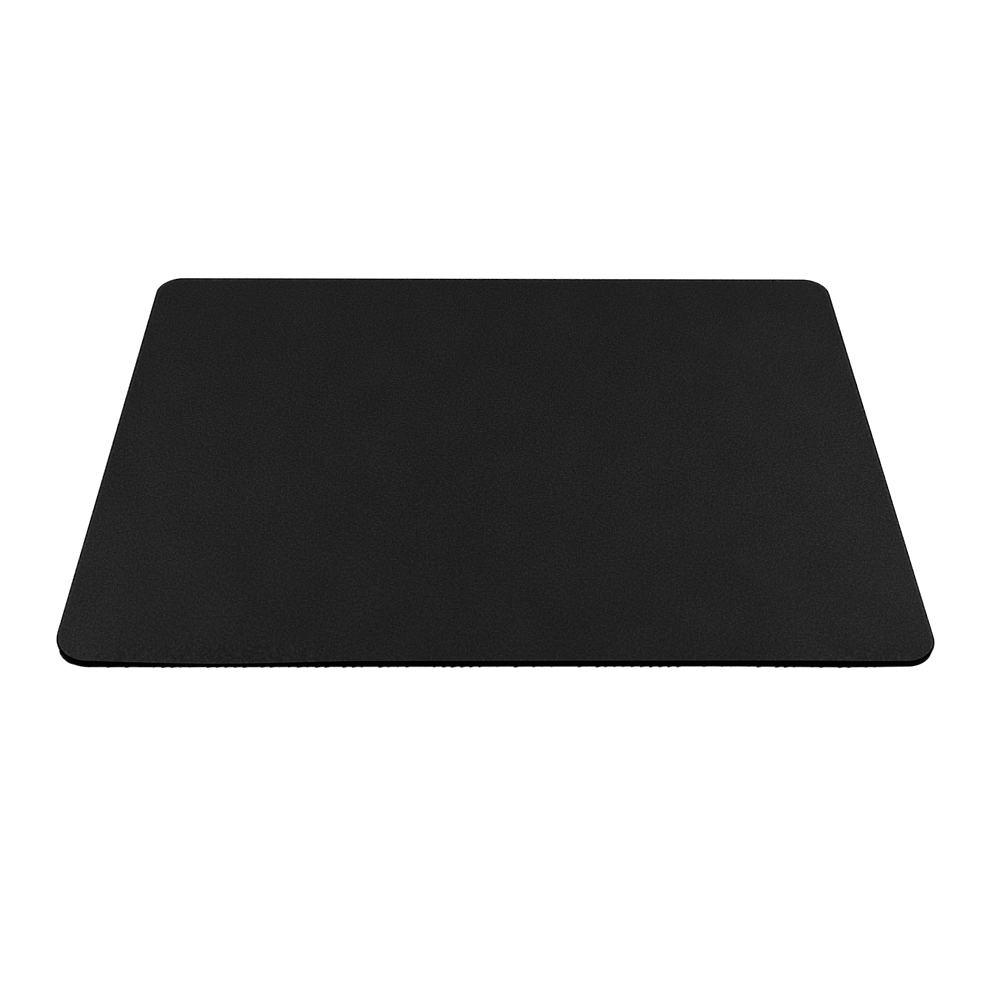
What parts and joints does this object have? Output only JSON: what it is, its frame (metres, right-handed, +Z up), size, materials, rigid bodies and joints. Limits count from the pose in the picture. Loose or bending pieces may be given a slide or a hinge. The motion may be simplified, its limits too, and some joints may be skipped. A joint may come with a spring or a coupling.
{
  "type": "mouse pad",
  "caption": "Thin rounded-rectangle desk mat for a computer pointing device: fine knitted cloth face laminated to a non-slip sponge rubber base.",
  "frame": {"origin": "on the resting surface, under the middle of the pad", "axes": "+X along the long side to the user's right, +Y away from the user, +Z up out of the cloth face"},
  "size_m": [0.35, 0.25, 0.0036],
  "materials": {
    "sponge_rubber": "matte",
    "adhesive_film": "matte",
    "knitted_cloth": "matte"
  },
  "bodies": {
    "root": {"rubber_base": "sponge_rubber", "bonding_film": "adhesive_film", "cloth_top": "knitted_cloth"}
  },
  "joints": []
}
